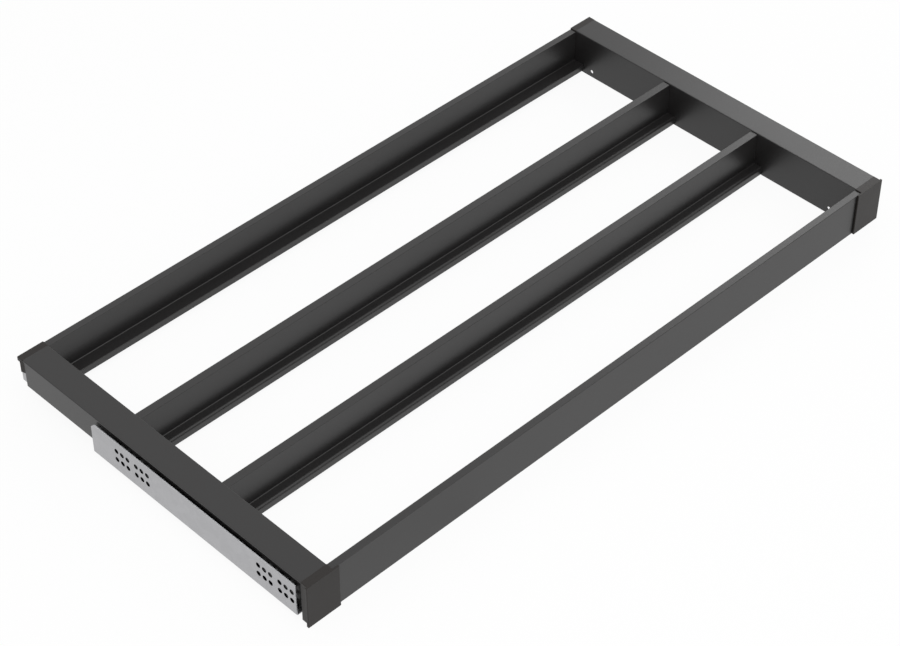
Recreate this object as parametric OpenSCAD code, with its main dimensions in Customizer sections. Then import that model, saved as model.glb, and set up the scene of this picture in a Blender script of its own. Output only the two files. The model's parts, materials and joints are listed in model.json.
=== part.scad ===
// Pull-out tray frame for a wardrobe: an aluminium frame with three open bays on a pair of
// hidden full-extension slides. Millimetres. X runs across the frame, Y from the front to the
// back, and Z up. The origin is the middle of the frame, level with the bottom of its front caps.

/* [Frame] */
// Width over the outer skirts of the two side profiles
frame_width = 900; // [500:10:1200]
// Depth over the front and rear caps
frame_depth = 466; // [430:2:600]
// Height of the front caps
frame_height = 58; // [56:0.5:66]
// Clear depth of the front bay and of the rear bay
outer_bay = 147.5; // [100:0.5:160]
// Height of the ledges above the bottom of the front caps
ledge_height = 13.7; // [12:0.1:18]
// Height of the bars' lower edges above the bottom of the front caps
foot_lift = 0.7; // [0:0.1:3]

/* [Side profiles] */
// Width of a side profile
side_width = 32.9; // [31.8:0.1:36]
// How far its top plate stands out past its outer skirt
top_overhang = 1.6; // [0.5:0.1:3]
// Thickness of its upright walls
side_wall = 1.3; // [1:0.1:1.6]
// Thickness of the top and the floor of its box
box_plate = 1.6; // [1:0.1:2.4]
// Height of its closed box
box_height = 20; // [18:0.5:21]
// Depth of its outer skirt, from the top of the box
outer_skirt = 38.8; // [30:0.2:39]
// Height of its inner skirt's lower edge above the bottom of the front caps
skirt_lift = 1.8; // [0:0.1:3]
// Radius of its upper edges
side_corner = 1; // [0.2:0.1:1]
// Diameter of the two accessory holes in the inner skirt
accessory_hole = 5; // [3:0.1:6]
// Height of the accessory holes above the bottom of the front caps
accessory_height = 9.3; // [5:0.1:14]
// Distance of the front accessory hole from the front end of the profile
accessory_front = 33.6; // [20:0.1:60]
// Distance of the rear accessory hole from the rear end of the profile
accessory_rear = 29.5; // [20:0.1:60]

/* [Bars and dividers] */
// Width of the front bar and of the rear bar
bar_width = 9; // [8:0.1:10]
// Width of a divider
divider_width = 10.3; // [9:0.1:14]
// Thickness of the walls of bars and dividers
bar_wall = 1.3; // [1:0.1:1.6]
// Height of the side profiles' top above the top of bars and dividers
bar_drop = 1.5; // [0:0.1:3]
// Thickness of a ledge
ledge_plate = 1.6; // [1.2:0.1:2.5]
// Reach of the ledge of a bar into its bay
bar_ledge = 15.8; // [10:0.1:20]
// Height of the lip of a bar's ledge
bar_lip = 8.2; // [4:0.1:10]
// Reach of a ledge of a divider
divider_ledge = 12.2; // [8:0.1:20]
// Height of the lip of a divider's ledge
divider_lip = 9.8; // [6:0.1:11]
// Radius of the shoulder of a divider's ledge
divider_shoulder = 3.2; // [1:0.1:4]
// Radius of the upper edges of bars and dividers
bar_corner = 0.6; // [0.2:0.1:1]
// Size of the bead in the corner between a wall and its ledge
corner_bead = 0.7; // [0.3:0.1:1.5]

/* [Corner caps] */
// Width of the plate of a front cap
plate_width = 44.2; // [40:0.2:60]
// Thickness of the plate of a front cap
plate_thickness = 2.4; // [2:0.1:4]
// How far the plate stands out past the side profile
plate_overhang = 3.5; // [1:0.1:4]
// Radius of the edges of the plate
plate_corner = 0.7; // [0.3:0.1:1]
// Depth of the head of a front cap, behind its plate
head_depth = 8.5; // [7:0.1:12]
// How far the heads reach inwards past the side profile
head_reach = 0.4; // [0.2:0.1:4]
// Height of the bottom of a front head above the bottom of its plate
head_lift = 2.7; // [1:0.1:4]
// Thickness of the walls of the caps
cap_wall = 1.8; // [1.2:0.1:2.4]
// Depth of the head of a rear cap
rear_head_depth = 5.3; // [4:0.1:8]
// Depth of the lip on top of a rear cap
rear_lip_depth = 3.7; // [2:0.1:5]
// Height of the lip of a rear cap
rear_lip_height = 5.8; // [3:0.1:8]
// How far a rear cap stands out past the skirt of the side profile
rear_overhang = 1.8; // [0.5:0.1:2]
// How far the rear bar sits in from the back of the rear caps
rear_bar_inset = 0.2; // [0.2:0.1:1]
// Length of the plug that a cap pushes into the box of a side profile
plug_length = 14; // [8:0.5:20]
// Length of the tongue that a cap pushes into a bar
tongue_length = 18; // [12:0.5:30]
// Height of that tongue
tongue_height = 30; // [16:0.5:40]
// Clearance round a plug or a tongue
plug_play = 0.1; // [0.05:0.05:0.2]

/* [Slides] */
// Travel of the frame from closed to fully pulled out
travel = 300; // [200:5:300]
// Thickness of the steel sheet
steel = 1.2; // [1:0.1:1.3]
// Outer radius of the sheet's bends
bend = 1.7; // [1.4:0.1:1.8]
// Length of a cabinet rail
rail_length = 321.5; // [300:0.5:345]
// Distance of the front end of the cabinet rails from the front of the caps
rail_setback = 15.8; // [12:0.1:30]
// How far the outer face of a cabinet rail lies outside its side profile
rail_overhang = 4.5; // [3.6:0.1:6]
// Height of the frame's top above the top of a cabinet rail
rail_drop = 7.35; // [4:0.05:10]
// Size of the cut corner at the rear top end of a cabinet rail
rail_chamfer = 5.6; // [1:0.1:8]
// Height of the raised track's top above the bottom of the cabinet rail
track_height = 21; // [20.6:0.1:22]
// Width of the raised track on a cabinet rail
track_width = 8; // [7.6:0.1:8.4]
// Reach of a cabinet rail's base past the middle of its track
base_reach = 10; // [9.8:0.1:11]
// Height of the turned-up edge of the base
base_edge = 4; // [2:0.1:5]
// Gap between two rails in which the rollers run
roller_gap = 3.2; // [3:0.1:3.4]
// Gap between two rails in which the balls run
ball_gap = 2.8; // [2.6:0.1:2.9]
// Length of a middle rail
middle_length = 300; // [280:1:310]
// Distance of a middle rail from the front end of its cabinet rail
middle_setback = 4; // [2:0.5:8]
// Height of the middle rail's lower edges above the base of the cabinet rail
middle_lift = 4.8; // [4.3:0.1:5]
// Length of a runner
runner_length = 330; // [320:1:335]
// How far a runner reaches past the front end of its cabinet rail, towards the front
runner_lead = 3; // [1:0.5:4]
// Height of the walls of a runner
runner_height = 13.8; // [12:0.1:14]
// Height of the outer wall of a mounting channel
channel_height = 15.8; // [12:0.1:16]
// Height of the ears that keep a cage on its rail
stop_height = 2.4; // [1:0.1:2.6]
// How far a mounting channel stops short of the back of the rear caps
channel_inset = 0.2; // [0.2:0.1:4]

/* [Rail holes] */
// Diameter of the fixing holes of a cabinet rail
rail_hole = 6.3; // [4:0.1:6.4]
// Pitch of the fixing system, from cluster to cluster
system_pitch = 32; // [30:0.5:36]
// Distance between two columns of a cluster
column_pitch = 9.05; // [8:0.05:9.5]
// Distance between the two rows
row_pitch = 12.15; // [10:0.05:13]
// Distance of the first column from the front end of the rail
first_column = 5.8; // [5:0.1:12]
// Distance of the upper row from the top of the rail
upper_row = 13.3; // [8:0.05:16]

/* [Roller cages] */
// Length of a cage
cage_length = 146; // [100:2:150]
// Rollers in a cage, and balls on each side of it
rollers = 6; // [4:1:7]
// Thickness of a cage
cage_sheet = 1.2; // [1:0.1:1.4]
// Radius of the ball tracks rolled into the rails
race_radius = 1.8; // [1.6:0.05:1.85]
// Clearance of a roller between its two rails
roller_play = 0.1; // [0.05:0.05:0.2]
// Clearance of a ball in its tracks
ball_play = 0.15; // [0.1:0.05:0.25]
// How far the lower ball tracks lie below the top of the raised track
lower_race_drop = 9; // [8:0.1:9.5]
// How far the upper ball tracks lie below the top of the middle rail
upper_race_drop = 4.4; // [4:0.1:5]
// Clearance of rollers and balls in the cage
pocket_play = 0.2; // [0.1:0.05:0.3]
// Length of a lower roller
lower_roller = 4.4; // [3:0.1:4.4]
// Length of an upper roller
upper_roller = 11; // [8:0.1:12]

/* [Soft close] */
// Length of the housing of a soft-close unit
housing_length = 128; // [110:1:130]
// Height of the housing
housing_height = 10; // [9.6:0.1:10.4]
// Width of the housing
housing_width = 10.5; // [10.3:0.1:10.7]
// Distance of the housing from the front end of the cabinet rail
housing_setback = 186; // [180:1:190]
// Thickness of the walls of the housing
housing_wall = 1.2; // [1:0.1:1.3]
// Stroke of the sled
sled_stroke = 40; // [30:1:45]
// Diameter of the damper cylinder
damper_diameter = 5.4; // [5:0.1:5.6]
// Diameter of the damper's rod
rod_diameter = 1.8; // [1.4:0.1:2.2]
// Diameter of the spring's wire
wire = 0.6; // [0.4:0.1:0.7]
// Diameter of the spring, at the middle of its wire
spring_diameter = 2; // [1.8:0.1:2.2]
// Pitch of the spring's turns
spring_pitch = 2.5; // [2:0.1:4]

/* [Screws] */
// Thread diameter of the screws in the dividers
divider_screw = 3.4; // [3:0.1:3.6]
// Head diameter of those screws
divider_head = 7; // [6:0.1:7]
// Thread diameter of the screws at the corners
corner_screw = 2.9; // [2.5:0.1:3.5]
// Head diameter of the screws at the corners
corner_head = 6; // [5:0.1:6.4]
// Thread diameter of the screws in the mounting channels
channel_screw = 3.9; // [3:0.1:4]
// Head diameter of those screws
channel_head = 7; // [6:0.1:8]
// Distance of the first of them from the front end of the runner
channel_screw_inset = 24; // [10:1:30]
// Distance between the two that go through the runner
channel_screw_pitch = 42; // [20:1:46]
// Distance of the last of them from the plug of the rear cap
channel_screw_end = 14; // [6:1:24]
// Height of every screw head
head_height = 2.2; // [1.6:0.1:2.3]

/* [Hidden] */
$fn = 48;

// Each cut runs this far past the face that it opens
overrun = 1;
// Pieces that are pushed or laid against each other leave this gap
seat_play = 0.2;
// Radial clearance of a screw in its port, and in a plain hole
port_play = 0.05;
hole_play = 0.3;

// Faces of the frame
half_width = frame_width / 2;
front_face = -frame_depth / 2;
rear_face = frame_depth / 2;
side_front = front_face + plate_thickness + head_depth;
side_rear = rear_face - rear_lip_depth - rear_head_depth;
box_floor = frame_height - box_height;
bar_top = frame_height - bar_drop;
plate_floor = frame_height - box_plate;

// Bars and dividers: where each begins, counted along the depth
front_bar_face = front_face + plate_thickness + seat_play;
rear_bar_face = rear_face - rear_bar_inset;
front_divider_middle = front_bar_face + bar_width + outer_bay + divider_width / 2;
rear_divider_middle = rear_bar_face - bar_width - outer_bay - divider_width / 2;
divider_half = divider_width / 2;
lip_wall = ledge_plate;
divider_end = half_width - side_width - seat_play;
head_end = side_width + head_reach;
bar_end = half_width - head_end - seat_play;

// Screws into the dividers, one below the ledges and one above
port_inset = 5.3;
port_rise = 3.3;
lower_port_height = foot_lift + port_inset;
upper_port_height = ledge_height + port_rise;
divider_screw_length = 16;
corner_screw_length = 6.5;
corner_screw_height = 8;
channel_screw_length = 8;

// Slides: they hang from the box floor, so their heights are counted down from it
slide_middle = side_width / 2;
channel_top = box_floor;
channel_half = side_width / 2 - side_wall - seat_play;
runner_top = channel_top - steel;
middle_top = runner_top - steel - roller_gap;
track_top = middle_top - steel - roller_gap;
rail_lift = track_top - track_height;
base_top = rail_lift + steel;
rail_top = frame_height - rail_drop;
track_half = track_width / 2;
middle_half = track_half + ball_gap + steel;
runner_half = middle_half + ball_gap + steel;
middle_floor = base_top + middle_lift;
runner_floor = runner_top - runner_height;
channel_floor = channel_top - channel_height;

// The channel's inner wall passes over the screws of the dividers, and ends above their heads
channel_gap = 3;
channel_inner_floor = upper_port_height + divider_head / 2 + channel_gap;

// Slides: places along the depth, closed
rail_front = front_face + rail_setback;
rail_rear = rail_front + rail_length;
middle_front = rail_front + middle_setback;
middle_rear = middle_front + middle_length;
runner_front = rail_front - runner_lead;
runner_rear = runner_front + runner_length;
channel_front = side_front + seat_play;
channel_rear = rear_face - channel_inset;

// The screws that hold a mounting channel: two go through the runner. Of the two behind it, one
// is the last and the other lies halfway from the runner to the last.
first_screw = runner_front + channel_screw_inset;
last_screw = side_rear - plug_length - channel_screw_end;
runner_screw_places = [first_screw, first_screw + channel_screw_pitch];
rear_screw_places = [(runner_rear + last_screw) / 2, last_screw];
screw_places = concat(runner_screw_places, rear_screw_places);

// Raceways of the balls, and the middle of each gap
lower_race = track_half + ball_gap / 2;
upper_race = middle_half + ball_gap / 2;
lower_race_height = track_top - lower_race_drop;
upper_race_height = middle_top - upper_race_drop;
lower_roller_height = track_top + roller_gap / 2;
upper_roller_height = middle_top + roller_gap / 2;
roller_radius = roller_gap / 2 - roller_play;
ball_radius = race_radius - ball_play;
cage_skirt = 3.6;

// Ears at the ends of the raised track, between its bends, and of the middle rail, beside the
// screws that pass over it
track_ear_half = track_half - bend;
middle_ear_left = channel_head / 2 + seat_play + hole_play;
middle_ear_right = middle_half - bend;

// Shares of the frame's travel. The middle rail goes half as far as the runner, and a cage goes
// half as far as the rails that it parts have gone together.
middle_share = 1 / 2;
lower_cage_share = middle_share / 2;
upper_cage_share = (middle_share + 1) / 2;

// A cage is centred on the overlap that is left at full travel, and set back by its own travel
lower_overlap_rear = middle_rear - travel * middle_share;
lower_cage_middle = (rail_front + lower_overlap_rear) / 2 + travel * lower_cage_share;
upper_overlap_front = middle_front - travel * middle_share;
upper_overlap_rear = runner_rear - travel;
upper_cage_middle = (upper_overlap_front + upper_overlap_rear) / 2 + travel * upper_cage_share;

// Clusters of fixing holes, in system pitches from the first
cluster_shares = [0, 1, 7, 8];
columns = 3;

// Soft close: the catch hangs from the runner into a slot of the housing
housing_left = bend + seat_play - rail_overhang;
housing_front = rail_front + housing_setback;
housing_rear = housing_front + housing_length;
housing_right = housing_left + housing_width;
catch_left = slide_middle - runner_half;
catch_length = 6;
catch_reach = 7.6;
catch_floor = runner_floor - catch_reach;
slot_play = 0.9;
slot_left = catch_left - slot_play;
sled_front = housing_front + housing_wall + sled_stroke + seat_play;
sled_finger = 3.4;
sled_post = 3.6;
catch_front = sled_front + sled_finger + seat_play;
sled_post_front = catch_front + catch_length + seat_play;
sled_rear = sled_post_front + sled_post;
sled_height = 4.4;
finger_clearance = 0.3;
damper_length = 46;
damper_middle = housing_left + housing_wall + seat_play + damper_diameter / 2;
damper_height = base_top + housing_wall + seat_play + damper_diameter / 2;
damper_rear = housing_rear - housing_wall;
damper_front = damper_rear - damper_length;
rod_depth = 20;
spring_middle = housing_right - housing_wall - seat_play - (spring_diameter + wire) / 2;
spring_height = base_top + housing_height - housing_wall - (spring_diameter + wire) / 2;
wire_sides = 6;
rings_per_turn = 8;

// Placing: a side's pieces are drawn from the outer face of the left side profile inwards
module on_left() {
    translate([-half_width, 0, 0]) children();
}

module on_right() {
    mirror([1, 0, 0]) on_left() children();
}

// A section in X and Z, run along the depth
module along_depth(front, rear) {
    translate([0, rear, 0]) rotate([90, 0, 0]) linear_extrude(rear - front) children();
}

// A section in Y and Z, run along the width
module along_width(left, right) {
    translate([left, 0, 0]) rotate([90, 0, 90]) linear_extrude(right - left) children();
}

// Shapes given by their lowest and highest corners
module panel(low, high) {
    translate(low) square(high - low);
}

module block(low, high) {
    translate(low) cube(high - low);
}

// A panel with its two upper corners rounded
module arch(low, high, corner) {
    panel(low, [high.x, high.y - corner]);
    panel([low.x + corner, low.y], [high.x - corner, high.y]);
    intersection() {
        panel(low, high);
        for (x = [low.x + corner, high.x - corner])
            translate([x, high.y - corner]) circle(r = corner);
    }
}

// A panel with all four corners rounded
module rounded_panel(low, high, corner) {
    panel([low.x, low.y + corner], [high.x, high.y - corner]);
    panel([low.x + corner, low.y], [high.x - corner, high.y]);
    for (x = [low.x + corner, high.x - corner], y = [low.y + corner, high.y - corner])
        translate([x, y]) circle(r = corner);
}

// Round pieces along X or along Y, from a point
module rod_along_x(from, diameter, length) {
    translate(from) rotate([0, 90, 0]) cylinder(d = diameter, h = length);
}

module rod_along_y(from, diameter, length) {
    translate(from) rotate([-90, 0, 0]) cylinder(d = diameter, h = length);
}

// Side profile: a box on top with an overhanging plate, and a skirt on each side that hides the
// slide
module side_section() {
    difference() {
        union() {
            panel([0, box_floor], [side_width, plate_floor]);
            panel([0, frame_height - outer_skirt], [side_wall, plate_floor]);
            panel([side_width - side_wall, skirt_lift], [side_width, plate_floor]);
            arch([-top_overhang, plate_floor], [side_width, frame_height], side_corner);
        }
        panel([side_wall, box_floor + box_plate], [side_width - side_wall, plate_floor]);
    }
}

module side_profile() {
    color("dimgray") difference() {
        along_depth(side_front, side_rear) side_section();
        for (y = [side_front + accessory_front, side_rear - accessory_rear])
            rod_along_x([side_width - side_wall - overrun, y, accessory_height],
                accessory_hole, side_wall + 2 * overrun);
        for (y = [front_divider_middle, rear_divider_middle], z = [lower_port_height, upper_port_height])
            rod_along_x([side_width - side_wall - overrun, y, z],
                divider_screw + 2 * hole_play, side_wall + 2 * overrun);
        for (y = screw_places)
            translate([slide_middle, y, box_floor - overrun])
                cylinder(d = channel_screw + 2 * port_play, h = box_plate + 2 * overrun);
    }
}

// Bar: a slim hollow wall with a ledge on the side of its bay. Its outer face is at zero.
module bar_section() {
    ledge_end = bar_width + bar_ledge;
    difference() {
        union() {
            arch([0, foot_lift], [bar_width, bar_top], bar_corner);
            arch([bar_width - bar_wall, ledge_height - ledge_plate], [ledge_end, ledge_height], bar_corner);
            panel([ledge_end - lip_wall, ledge_height - bar_lip], [ledge_end, ledge_height - bar_corner]);
            polygon([
                [bar_width, ledge_height],
                [bar_width + corner_bead, ledge_height],
                [bar_width, ledge_height + corner_bead]
            ]);
        }
        panel([bar_wall, foot_lift + bar_wall], [bar_width - bar_wall, bar_top - bar_wall]);
    }
}

// Holes near both ends of a bar for the screws into the corner caps
module corner_screw_holes(face) {
    for (side = [-1, 1])
        rod_along_y([side * (bar_end - tongue_length / 2), face, corner_screw_height],
            corner_screw + 2 * hole_play, bar_wall + 2 * overrun);
}

module front_bar() {
    color("dimgray") difference() {
        translate([0, front_bar_face, 0]) along_width(-bar_end, bar_end) bar_section();
        corner_screw_holes(front_bar_face + bar_width - bar_wall - overrun);
    }
}

module rear_bar() {
    color("dimgray") difference() {
        translate([0, rear_bar_face, 0]) mirror([0, 1, 0]) along_width(-bar_end, bar_end) bar_section();
        corner_screw_holes(rear_bar_face - bar_width - overrun);
    }
}

// Divider: a slim hollow wall with a round-shouldered ledge on each side and two screw ports
// inside
module divider_side() {
    ledge_end = divider_half + divider_ledge;
    difference() {
        arch([0, ledge_height - divider_lip], [ledge_end, ledge_height], divider_shoulder);
        panel([-overrun, ledge_height - divider_lip - overrun],
            [ledge_end - lip_wall, ledge_height - ledge_plate]);
    }
    polygon([
        [divider_half, ledge_height],
        [divider_half + corner_bead, ledge_height],
        [divider_half, ledge_height + corner_bead]
    ]);
}

module divider_section() {
    difference() {
        union() {
            difference() {
                arch([-divider_half, foot_lift], [divider_half, bar_top], bar_corner);
                panel([-divider_half + bar_wall, foot_lift + bar_wall],
                    [divider_half - bar_wall, bar_top - bar_wall]);
            }
            for (z = [lower_port_height, upper_port_height])
                translate([0, z]) circle(d = divider_width - bar_wall);
            for (side = [0, 1])
                mirror([side, 0]) difference() {
                    divider_side();
                    panel([-overrun, foot_lift], [divider_half - bar_wall / 2, bar_top]);
                }
        }
        for (z = [lower_port_height, upper_port_height])
            translate([0, z]) circle(d = divider_screw + 2 * port_play);
    }
}

module divider(middle) {
    color("dimgray") translate([0, middle, 0]) along_width(-divider_end, divider_end) divider_section();
}

// Corner caps. The plug fills the box of the side profile and the tongue goes into the bar.
module plug(front, rear) {
    left = side_wall + plug_play;
    right = side_width - side_wall - plug_play;
    low = box_floor + box_plate + plug_play;
    high = frame_height - box_plate - plug_play;
    along_depth(front, rear) difference() {
        panel([left, low], [right, high]);
        panel([left + cap_wall, low + cap_wall], [right - cap_wall, high - cap_wall]);
    }
}

module tongue(bar_face) {
    low = foot_lift + bar_wall + plug_play;
    difference() {
        block(
            [head_end - cap_wall / 2, bar_face + bar_wall + plug_play, low],
            [head_end + tongue_length, bar_face + bar_width - bar_wall - plug_play, low + tongue_height]
        );
        rod_along_y([half_width - bar_end + tongue_length / 2, bar_face, corner_screw_height],
            corner_screw + 2 * port_play, bar_width);
    }
}

// The plate is rounded on its long edges, seen from the front and seen from above
module cap_plate() {
    intersection() {
        along_depth(front_face, front_face + plate_thickness)
            rounded_panel([-plate_overhang, 0], [plate_width - plate_overhang, frame_height], plate_corner);
        linear_extrude(frame_height)
            rounded_panel([-plate_overhang, front_face],
                [plate_width - plate_overhang, front_face + plate_thickness + overrun], plate_corner);
    }
}

module front_cap() {
    head_front = front_face + plate_thickness - seat_play;
    color("#3c3b3a") {
        difference() {
            union() {
                cap_plate();
                along_depth(head_front, side_front)
                    arch([-top_overhang, head_lift], [head_end, frame_height], plate_corner);
            }
            block(
                [cap_wall - top_overhang, front_face + plate_thickness, head_lift + cap_wall],
                [head_end - cap_wall, side_front + overrun, frame_height - cap_wall]
            );
        }
        plug(head_front, side_front + plug_length);
        tongue(front_bar_face);
    }
}

// The rear head stays above the slide. Only its inner leg reaches down, beside the slide.
module rear_cap() {
    lip_front = side_rear + rear_head_depth;
    leg_left = side_width - side_wall + plug_play;
    color("#3c3b3a") {
        along_depth(side_rear, lip_front)
            arch([-rear_overhang, box_floor], [head_end, frame_height], plate_corner);
        along_depth(lip_front - seat_play, rear_face)
            rounded_panel([-rear_overhang, frame_height - rear_lip_height],
                [head_end, frame_height], plate_corner);
        block([leg_left, side_rear, foot_lift], [head_end, rear_bar_face, bar_top]);
        plug(side_rear - plug_length, side_rear + seat_play);
        tongue(rear_bar_face - bar_width);
    }
}

// Screws: a round head with a cross recess left to the finish, and a plain shank
module screw(thread, head, length) {
    cylinder(d = thread, h = length);
    translate([0, 0, -head_height]) intersection() {
        cylinder(d = head, h = head_height);
        translate([0, 0, head]) sphere(r = head + head_height, $fn = 64);
    }
}

module divider_screws() {
    color("silver")
        for (y = [front_divider_middle, rear_divider_middle], z = [lower_port_height, upper_port_height])
            translate([side_width - side_wall, y, z]) rotate([0, 90, 0])
                screw(divider_screw, divider_head, divider_screw_length);
}

module corner_screws() {
    color("silver") for (side = [-1, 1]) {
        x = side * (bar_end - tongue_length / 2);
        translate([x, front_bar_face + bar_width, corner_screw_height]) rotate([90, 0, 0])
            screw(corner_screw, corner_head, corner_screw_length);
        translate([x, rear_bar_face - bar_width, corner_screw_height]) rotate([-90, 0, 0])
            screw(corner_screw, corner_head, corner_screw_length);
    }
}

module channel_screws() {
    color("silver") {
        for (y = runner_screw_places)
            translate([slide_middle, y, runner_top - steel])
                screw(channel_screw, channel_head, channel_screw_length);
        for (y = rear_screw_places)
            translate([slide_middle, y, channel_top - steel])
                screw(channel_screw, channel_head, channel_screw_length);
    }
}

// Sheet steel bent into a channel that is open below
module bent_channel(half, low, high) {
    difference() {
        arch([-half, low], [half, high], bend);
        arch([steel - half, low - overrun], [half - steel, high - steel], bend - steel);
    }
}

// The two tracks that the balls run in, on either side of the middle line
module races(distance, height) {
    for (side = [-1, 1])
        translate([side * distance, height]) circle(r = race_radius);
}

module screw_holes(places, low) {
    for (y = places)
        translate([slide_middle, y, low])
            cylinder(d = channel_screw + 2 * hole_play, h = steel + 2 * overrun);
}

// The inner wall of a mounting channel ends above the heads of the divider screws that it passes
module mounting_section() {
    difference() {
        bent_channel(channel_half, channel_floor, channel_top);
        panel([channel_half - steel - overrun, 0], [channel_half + overrun, channel_inner_floor]);
    }
}

module mounting_channel() {
    color("lightgray") difference() {
        along_depth(channel_front, channel_rear) translate([slide_middle, 0]) mounting_section();
        screw_holes(screw_places, channel_top - steel - overrun);
    }
}

// The runner's catch works the soft-close sled
module runner() {
    color("silver") {
        difference() {
            along_depth(runner_front, runner_rear) translate([slide_middle, 0])
                difference() {
                    bent_channel(runner_half, runner_floor, runner_top);
                    races(upper_race, upper_race_height);
                }
            screw_holes(runner_screw_places, runner_top - steel - overrun);
        }
        block([catch_left, catch_front, catch_floor],
            [catch_left + steel, catch_front + catch_length, runner_floor + steel]);
    }
}

// A small ear bent up out of a rail's end, so that the cage stays on
module ear(left, right, front, top) {
    block([left, front, top - steel], [right, front + steel, top + stop_height]);
}

module middle_rail() {
    color("silver") {
        along_depth(middle_front, middle_rear) translate([slide_middle, 0]) difference() {
            bent_channel(middle_half, middle_floor, middle_top);
            races(lower_race, lower_race_height);
            races(upper_race, upper_race_height);
        }
        for (front = [middle_front, middle_rear - steel]) {
            ear(slide_middle - middle_ear_right, slide_middle - middle_ear_left, front, middle_top);
            ear(slide_middle + middle_ear_left, slide_middle + middle_ear_right, front, middle_top);
        }
    }
}

// Cabinet rail: an upright flange with the fixing holes, a base with a turned-up edge, and a
// hollow track rolled up out of the base
module rail_section() {
    left = -rail_overhang;
    right = slide_middle + base_reach;
    panel([left, rail_lift + bend], [left + steel, rail_top]);
    translate([left + bend, rail_lift + bend]) intersection() {
        difference() {
            circle(r = bend);
            circle(r = bend - steel);
        }
        translate([-bend, -bend]) square(bend);
    }
    panel([right - steel, rail_lift], [right, rail_lift + base_edge]);
    difference() {
        union() {
            panel([left + bend, rail_lift], [right, base_top]);
            translate([slide_middle, 0]) arch([-track_half, rail_lift], [track_half, track_top], bend);
        }
        translate([slide_middle, 0]) {
            arch([steel - track_half, rail_lift - overrun],
                [track_half - steel, track_top - steel], bend - steel);
            races(lower_race, lower_race_height);
        }
    }
}

module cabinet_rail() {
    color("darkgray") {
        difference() {
            along_depth(rail_front, rail_rear) rail_section();
            along_width(-rail_overhang - overrun, steel + overrun - rail_overhang) polygon([
                [rail_rear - rail_chamfer - overrun, rail_top + overrun],
                [rail_rear + overrun, rail_top - rail_chamfer - overrun],
                [rail_rear + overrun, rail_top + overrun]
            ]);
            for (share = cluster_shares, column = [0 : columns - 1], row = [0, 1])
                rod_along_x([
                    -rail_overhang - overrun,
                    rail_front + first_column + share * system_pitch + column * column_pitch,
                    rail_top - upper_row - row * row_pitch
                ], rail_hole, steel + 2 * overrun);
        }
        for (front = [rail_front, rail_rear - steel])
            ear(slide_middle - track_ear_half, slide_middle + track_ear_half, front, track_top);
    }
}

// Cages: a thin channel that parts two rails, with pockets for rollers on top and balls beside
function pocket_place(middle, index) = middle + cage_length * ((index + 1 / 2) / rollers - 1 / 2);

module cage(middle, race, race_height, roller_height, roller_length) {
    half = race + cage_sheet / 2;
    pocket = roller_radius + pocket_play;
    color("ivory") translate([slide_middle, 0, 0]) difference() {
        along_depth(middle - cage_length / 2, middle + cage_length / 2) difference() {
            arch([-half, race_height - cage_skirt], [half, roller_height + cage_sheet / 2], cage_sheet / 2);
            panel([cage_sheet - half, race_height - cage_skirt - overrun],
                [half - cage_sheet, roller_height - cage_sheet / 2]);
        }
        for (index = [0 : rollers - 1]) {
            y = pocket_place(middle, index);
            block([-roller_length / 2 - pocket_play, y - pocket, roller_height - cage_sheet],
                [roller_length / 2 + pocket_play, y + pocket, roller_height + cage_sheet]);
            rod_along_x([-half - overrun, y, race_height],
                2 * (ball_radius + pocket_play), 2 * (half + overrun));
        }
    }
}

module cage_rollers(middle, roller_height, roller_length) {
    color("gainsboro") for (index = [0 : rollers - 1])
        rod_along_x([slide_middle - roller_length / 2, pocket_place(middle, index), roller_height],
            2 * roller_radius, roller_length);
}

module cage_balls(middle, race, race_height) {
    color("gainsboro") for (index = [0 : rollers - 1], side = [-1, 1])
        translate([slide_middle + side * race, pocket_place(middle, index), race_height])
            sphere(r = ball_radius);
}

module lower_cage() {
    cage(lower_cage_middle, lower_race, lower_race_height, lower_roller_height, lower_roller);
}

module upper_cage() {
    cage(upper_cage_middle, upper_race, upper_race_height, upper_roller_height, upper_roller);
}

// Soft close: an open-topped housing on the base of the cabinet rail. Its roof leaves a slot
// for the catch, and its front wall is low enough for the catch to leave over it.
module damper_housing() {
    top = base_top + housing_height;
    low = base_top + housing_wall;
    color("#2b2b2d") difference() {
        block([housing_left, housing_front, base_top], [housing_right, housing_rear, top]);
        block([housing_left + housing_wall, housing_front + housing_wall, low],
            [housing_right - housing_wall, housing_rear - housing_wall, top - housing_wall]);
        block([slot_left, housing_front + housing_wall, low],
            [housing_right - housing_wall, housing_rear - housing_wall, top + overrun]);
        block([slot_left, housing_front - overrun, catch_floor - finger_clearance],
            [housing_right - housing_wall, housing_front + 2 * housing_wall, top + overrun]);
    }
}

module damper_cylinder() {
    color("gray") difference() {
        rod_along_y([damper_middle, damper_front, damper_height], damper_diameter, damper_length);
        rod_along_y([damper_middle, damper_front - overrun, damper_height],
            rod_diameter + 2 * port_play, rod_depth + 2 * overrun);
    }
}

module damper_rod() {
    color("silver") rod_along_y([damper_middle, sled_rear, damper_height],
        rod_diameter, damper_front + rod_depth - sled_rear);
}

// The sled: a finger in front of the catch and a post behind it
module damper_sled() {
    left = housing_left + housing_wall + seat_play;
    right = housing_right - housing_wall - seat_play;
    low = base_top + housing_wall;
    color("#d8d4c8") {
        block([left, sled_front, low], [right, sled_rear, low + sled_height]);
        block([catch_left - seat_play, sled_front, low + sled_height],
            [right, sled_front + sled_finger, catch_floor - finger_clearance]);
        block([catch_left - seat_play, sled_post_front, low + sled_height],
            [right, sled_rear, base_top + housing_height - housing_wall - seat_play]);
    }
}

// Spring: one wire wound along the depth, swept ring by ring
function spring_ring(turn) = [
    for (side = [0 : wire_sides - 1])
        let (
            around = 360 * turn,
            across = 360 * side / wire_sides,
            reach = spring_diameter / 2 + wire / 2 * cos(across)
        )
        [reach * cos(around), spring_pitch * turn + wire / 2 * sin(across), reach * sin(around)]
];

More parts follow.
